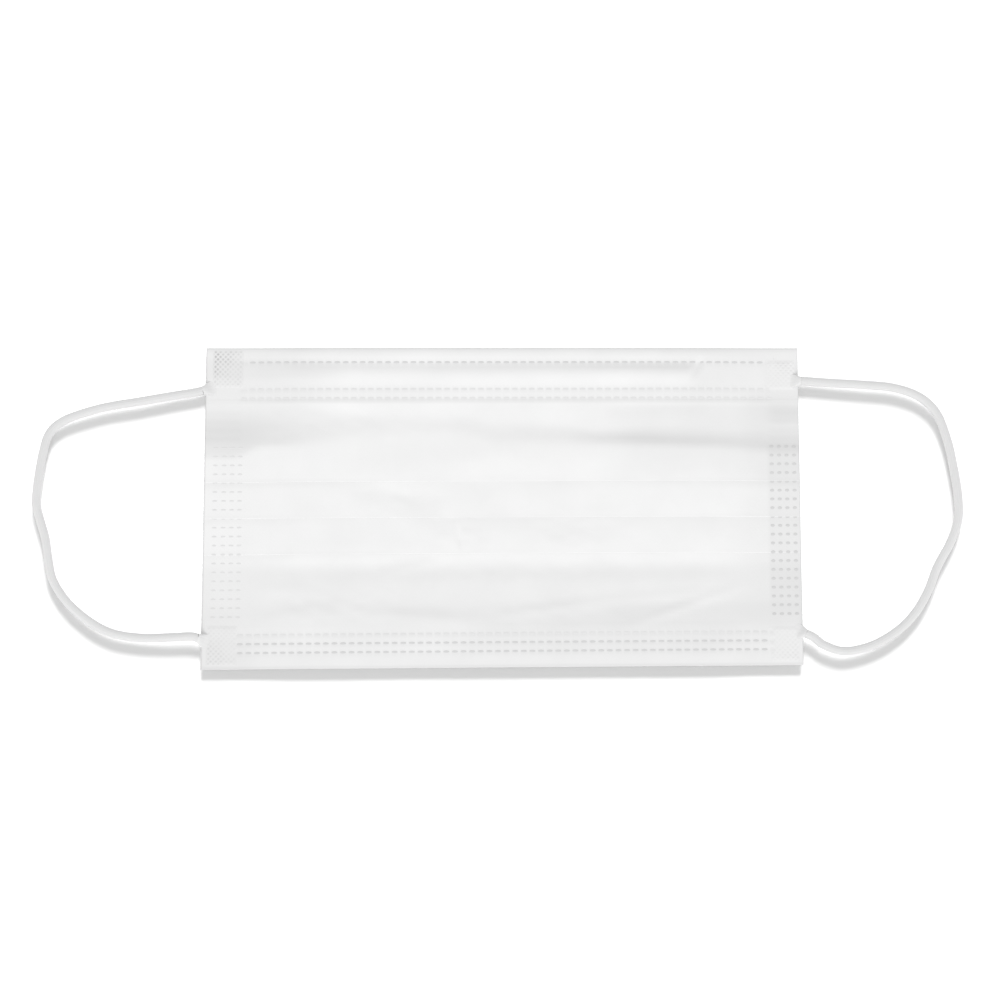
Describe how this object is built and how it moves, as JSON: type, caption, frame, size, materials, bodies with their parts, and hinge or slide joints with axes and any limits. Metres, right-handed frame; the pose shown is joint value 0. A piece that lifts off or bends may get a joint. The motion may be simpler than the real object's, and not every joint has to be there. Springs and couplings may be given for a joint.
{
  "type": "surgical face mask",
  "caption": "Flat-lying pleated surgical face mask of white nonwoven cloth, with hemmed edges, a nose wire and two round elastic ear loops.",
  "frame": {"origin": "centre of the body's footprint, on the surface that the mask lies on, without the ear loops", "axes": "+Z out of the outer face, +Y towards the edge with the nose wire, +X across the face from ear to ear"},
  "size_m": [0.2728, 0.0956, 0.0044],
  "materials": {
    "white_nonwoven": "matt white spunbond nonwoven with pressed weld marks",
    "wire_metal": "plain flat wire, hidden in the top hem",
    "pressed_elastic": "white elastic pressed flat and welded",
    "knitted_elastic": "white round knitted elastic"
  },
  "bodies": {
    "root": {"pleated_panel": "white_nonwoven", "nose_wire": "wire_metal", "loop_end_top_left": "pressed_elastic", "loop_end_top_right": "pressed_elastic", "loop_end_bottom_left": "pressed_elastic", "loop_end_bottom_right": "pressed_elastic", "ear_loop_left": "knitted_elastic", "ear_loop_right": "knitted_elastic"}
  },
  "joints": []
}
